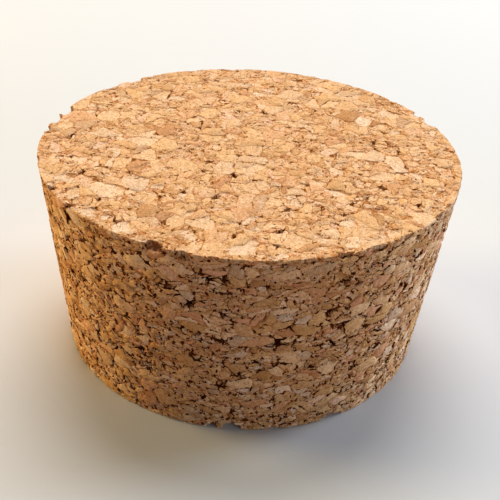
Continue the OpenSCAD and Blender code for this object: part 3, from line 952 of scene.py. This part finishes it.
def pressed_cork(look):
    """Pressed cork: a colour for each granule, streaked and mottled, with brown seams and dark open pores.

    A seam fades with the distance to a granule's side, and comes and goes in patches; its darkening is partly
    the brown joint and partly painted shade towards the granule's edge. A thin crack opens where a noise is
    greater than that distance, and a pore where the gap in the attribute gape is wider than it; they and the
    flecks take a dark colour that is partly their dark cork and partly painted shade. The attribute broken is
    how far a break has pressed the surface in; a broken place is darkened, partly its darker inside and partly
    painted shade.
    """
    material = bpy.data.materials.new("Pressed Cork")
    wire = blank_wiring(material)
    place = wire.place()
    granule = wire.add("ShaderNodeGroup", node_tree=granule_group())
    wire.join(place, granule.inputs["Place"])
    tone, hue, side, wide_side, crumb, streaks = (granule.outputs[name] for name in GRANULE_OUTPUTS)
    gape = wire.add("ShaderNodeAttribute", attribute_name="gape").outputs["Fac"]
    broken = wire.add("ShaderNodeAttribute", attribute_name="broken").outputs["Fac"]
    # 1 on the wall and 0 on the faces
    half = float(CAD_HIGH[2]) / MM / 2
    up = wire.add("ShaderNodeSeparateXYZ", {"Vector": place}).outputs["Z"]
    from_half = wire.maths("ABSOLUTE", wire.maths("SUBTRACT", up, half))
    wall = wire.ranged(from_half, half - WALL_WHOLE, half - WALL_STARTS, 1.0, 0.0)
    colour = granule_colour(wire, look, tone, hue, wall)

    # Light and dark inside the granules: red follows it less than green, and blue more
    mottle, grain = wire.noise(place, *MOTTLE), wire.noise(place, *GRAIN)
    contrast = wire.product(wire.maths("SUBTRACT", tone, COMMON_TONE), wire.product(wall, WALL_CONTRAST))
    light = wire.product(
        wire.ranged(wire.noise(place, *CLOUD), 0.3, 0.7, 0.97, 1.03),
        wire.ranged(mottle, 0.25, 0.72, 0.76, 1.14),
        wire.ranged(streaks, 0.3, 0.7, 0.82, 1.08),
        wire.ranged(grain, 0.25, 0.75, 0.82, 1.14),
        wire.maths("MULTIPLY_ADD", crumb, SIZE_LIGHT[1], SIZE_LIGHT[0]),
        wire.maths("ADD", contrast, 1.0))
    red, blue = wire.maths("POWER", light, RED_POWER), wire.maths("POWER", light, BLUE_POWER)
    shade = wire.add("ShaderNodeCombineColor", {"Red": red, "Green": light, "Blue": blue})
    colour = wire.mixed(1.0, colour, shade.outputs[0], "MULTIPLY")

    # Seams, partly the darker joints between granules and partly painted shade towards each granule's edge, and
    # the darker cork of a break, partly painted shade in its recess
    uneven = wire.maths("MULTIPLY_ADD", wire.noise(place, *WAVER), SEAM_WAVER, side)
    patch = wire.ranged(wire.noise(place, *PATCH), 0.38, 0.64, 0.0, 0.95)
    seam = wire.product(wire.ranged(uneven, SEAM_FROM, SEAM_TO, 1.0, 0.0), patch)
    colour = wire.tinted(seam, colour, SEAM_AND_SHADE_TINT)
    # Greyed, darker cork at a break: partly the cork's darker inside, partly painted shade in the break's
    # recess
    colour = wire.tinted(wire.ranged(broken, 0.4, 1.4, 0.0, 0.35), colour, BROKEN_AND_SHADE_TINT)
    # A darker brown band in the bed that a lost granule leaves: partly exposed darker cork, partly painted
    # shade along the recess
    bed_and_shade = wire.maths("MULTIPLY_ADD", wire.noise(place, *BED), BED_NOISE, broken)
    bed_and_shade = wire.product(
        wire.ranged(bed_and_shade, 1.45, 1.75), wire.ranged(bed_and_shade, 2.2, 2.8, 1.0, 0.0), wire.ranged(broken, 0.5, 1.2))
    colour = wire.tinted(bed_and_shade, colour, BED_AND_SHADE_TINT)

    # Flecks, thin cracks and pores, all of the same dark colour: partly their dark cork and partly painted
    # shade, darker on the wall as painted shade for the dimmer light there
    hollow_with_shade = wire.mixed(wall, (*look.seam, 1.0), (*look.hollow_with_shade, 1.0))
    fleck = wire.ranged(wire.noise(place, *FLECK), 0.60, 0.68, 0.0, 0.85)
    colour = wire.mixed(fleck, colour, hollow_with_shade)
    loose = wire.noise(wire.vector("ADD", place, LOOSE_SHIFT), *LOOSE)
    crack_w = wire.ranged(
        loose, wire.with_wall(wall, CRACK_FROM), CRACK_WIDEST, CRACK_CLOSED, wire.with_wall(wall, CRACK_W))
    thin_crack = wire.maths("SUBTRACT", crack_w, uneven)
    thin_crack = wire.ranged(wire.maths("MULTIPLY_ADD", wall, CRACK_MORE, thin_crack), -0.06, 0.0)
    pore = wire.ranged(wire.maths("SUBTRACT", gape, wide_side), -0.04, 0.03)
    colour = wire.mixed(wire.maths("MAXIMUM", thin_crack, pore), colour, hollow_with_shade)

    # The fine relief: the height in millimetres that each of these gives
    height = 0.0
    for part, rise in (
        (mottle, 0.12), (grain, 0.05), (streaks, 0.04), (wire.ranged(uneven, SEAM_FROM, 0.36), 0.06),
        (thin_crack, -0.14), (fleck, -0.08),
    ):
        height = wire.maths("MULTIPLY_ADD", part, rise, height)
    bump = wire.add("ShaderNodeBump", {"Height": height, "Distance": MM, "Strength": FINE_RELIEF})
    surface = wire.add("ShaderNodeBsdfPrincipled", {
        "Base Color": colour, "Roughness": wire.ranged(tone, 0.0, 1.0, DEEP_ROUGH, PALE_ROUGH),
        "Normal": bump.outputs["Normal"], "Specular IOR Level": SPECULAR})
    wire.add("ShaderNodeOutputMaterial", {"Surface": surface.outputs["BSDF"]})
    return material


def stage_paper(look):
    """Pale matt paper that fades into the backdrop far away.

    It throws back a darker light at the cork than its colour would, so that the cork isn't lit from below.
    """
    material = bpy.data.materials.new("Stage Paper")
    wire = blank_wiring(material)
    rays = wire.add("ShaderNodeLightPath").outputs
    mirrored = wire.maths("MAXIMUM", rays["Is Glossy Ray"], rays["Is Transmission Ray"])
    seen = wire.maths("MAXIMUM", rays["Is Camera Ray"], mirrored)
    surface = wire.add("ShaderNodeBsdfDiffuse", {"Color": wire.mixed(seen, FLOOR_BOUNCE, (*look.floor, 1.0))})
    away = wire.ranged(wire.vector("LENGTH", wire.place()), FADE_FROM, FADE_TO)
    backdrop = wire.add("ShaderNodeEmission", {"Color": (*look.backdrop, 1.0), "Strength": 1.0})
    faded = wire.product(away, rays["Is Camera Ray"])
    paper = wire.add("ShaderNodeMixShader", {
        0: faded, 1: surface.outputs["BSDF"], 2: backdrop.outputs["Emission"]})
    wire.add("ShaderNodeOutputMaterial", {"Surface": paper.outputs["Shader"]})
    return material


# --- The stage --------------------------------------------------------------------------------

def stage_lamps(scene):
    """Round lamps, each turned from its place towards its aim."""
    for name, place, aim, size, watts, tint in LAMPS:
        lamp = bpy.data.lights.new(name, "AREA")
        lamp.shape, lamp.size, lamp.energy, lamp.color = "DISK", size, watts, tint
        holder = bpy.data.objects.new(name, lamp)
        holder.location = place
        holder.rotation_euler = (Vector(aim) - Vector(place)).to_track_quat("-Z", "Y").to_euler()
        scene.collection.objects.link(holder)


def stage_world(scene, look):
    """A dim even light all round the cork, and the backdrop's colour for the camera."""
    world = bpy.data.worlds.new("Studio")
    scene.world = world
    wire = blank_wiring(world)
    rays = wire.add("ShaderNodeLightPath").outputs
    colour = wire.mixed(rays["Is Camera Ray"], WORLD_LIGHT, (*look.backdrop, 1.0))
    sky = wire.add("ShaderNodeBackground", {"Color": colour, "Strength": 1.0})
    wire.add("ShaderNodeOutputWorld", {"Surface": sky.outputs[0]})


def stage_camera(scene):
    """The camera. Its sideways and upward directions are square to its view, and turned by the roll."""
    down, roll = math.radians(CAMERA_DOWN), math.radians(CAMERA_ROLL)
    right = Vector((1, 0, 0))
    ahead = Vector((0, math.cos(down), -math.sin(down)))
    above = Vector((0, math.sin(down), math.cos(down)))
    side = right * math.cos(roll) + above * math.sin(roll)
    rise = above * math.cos(roll) - right * math.sin(roll)
    turned = Matrix((side, rise, -ahead)).transposed().to_4x4()
    lens = bpy.data.cameras.new("Camera")
    lens.lens, lens.sensor_width, lens.clip_start = CAMERA_LENS, CAMERA_SENSOR, CAMERA_NEAREST
    camera = bpy.data.objects.new("Camera", lens)
    camera.matrix_world = Matrix.Translation(Vector(CAMERA_PLACE) * MM) @ turned
    scene.collection.objects.link(camera)
    scene.camera = camera


# --- Operators --------------------------------------------------------------------------------

class CORK_OT_stopper(bpy.types.Operator):
    """Makes the stopper: the turned form, its missing granules, its relief and its open pores"""

    bl_idname = "cork.stopper"
    bl_label = "Make the Stopper"

    def execute(self, context):
        """Turns the form, presses the breaks in, and sinks each point by its relief and its pore's depth."""
        sizes, look = context.scene.cork_sizes, context.scene.cork_look
        taper = Taper(sizes)
        step = sizes.grid_step / MM * 1.0
        points, squares = turned_surface(taper, step)
        r = np.hypot(points[:, 0], points[:, 1])
        in_r, in_z = taper.inward(r, points[:, 2])
        from_rim = taper.from_rim(r, points[:, 2])
        turn = np.arctan2(points[:, 1], points[:, 0])
        inward = np.column_stack([in_r * np.cos(turn), in_r * np.sin(turn), in_z])
        whole = points.copy()
        for missing in all_rim_breaks(taper):
            break_rim(points, *missing)
        broken = np.linalg.norm(points - whole, axis=1)

        granules = Granules((-taper.top_r, -taper.top_r, 0), (taper.top_r, taper.top_r, taper.height))
        tone, side, wide_side, away = granules.find(points)
        gape = pore_gape(granules, taper, points)
        sunk = granule_relief(tone, side, away, sizes.relief / MM, np.abs(in_r), from_rim, broken)
        sunk += np.clip((gape - wide_side) * PORE_FALL, 0, sizes.pore_depth / MM)
        points += inward * np.maximum(sunk, 0.0)[:, None]

        mesh = write_mesh(PIECE, points, squares)
        for name, value in (("gape", gape), ("broken", broken)):
            mesh.attributes.new(name, "FLOAT", "POINT").data.foreach_set("value", value.astype(np.float32))
        piece = add_piece(PIECE, mesh)
        thin_out(piece, sizes.triangle_limit)
        piece.data.name = PIECE
        piece.data.shade_smooth()
        piece.data.set_sharp_from_angle(angle=math.radians(SHARP_EDGE))
        piece.data.materials.append(pressed_cork(look))
        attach(piece, "root")
        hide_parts(NODE)
        return {"FINISHED"}


class CORK_OT_stage(bpy.types.Operator):
    """Makes the floor, the lamps, the world and the camera"""

    bl_idname = "cork.stage"
    bl_label = "Make the Stage"

    def execute(self, context):
        scene, look = context.scene, context.scene.cork_look
        disc, number, _ = disc_grid(FLOOR_SQUARES)
        points = np.column_stack([disc * FLOOR_R, np.zeros(len(disc))])
        floor = add_piece("stage_floor", write_mesh("stage_floor", points, grid_squares(number)))
        floor.data.materials.append(stage_paper(look))
        floor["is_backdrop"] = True
        stage_lamps(scene)
        stage_world(scene, look)
        stage_camera(scene)
        scene.view_settings.view_transform = "Standard"
        return {"FINISHED"}


class CORK_PT_panel(bpy.types.Panel):
    """The stopper's sizes and colours, and the buttons that make it"""

    bl_idname = "CORK_PT_panel"
    bl_label = "Cork Stopper"
    bl_space_type = "VIEW_3D"
    bl_region_type = "UI"
    bl_category = "Cork"

    def draw(self, context):
        for group in (context.scene.cork_sizes, context.scene.cork_look):
            box = self.layout.box()
            for name in group.__annotations__:
                box.prop(group, name)
        for operator in (CORK_OT_stopper, CORK_OT_stage):
            self.layout.operator(operator.bl_idname)


CLASSES = (CorkSizes, CorkLook, CORK_OT_stopper, CORK_OT_stage, CORK_PT_panel)


def register():
    for cls in CLASSES:
        bpy.utils.register_class(cls)
    bpy.types.Scene.cork_sizes = PointerProperty(type=CorkSizes)
    bpy.types.Scene.cork_look = PointerProperty(type=CorkLook)


def unregister():
    del bpy.types.Scene.cork_look
    del bpy.types.Scene.cork_sizes
    for cls in reversed(CLASSES):
        bpy.utils.unregister_class(cls)


def main():
    """Registers the classes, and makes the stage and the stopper."""
    register()
    bpy.ops.cork.stage()
    bpy.ops.cork.stopper()


if __name__ == "__main__":
    main()
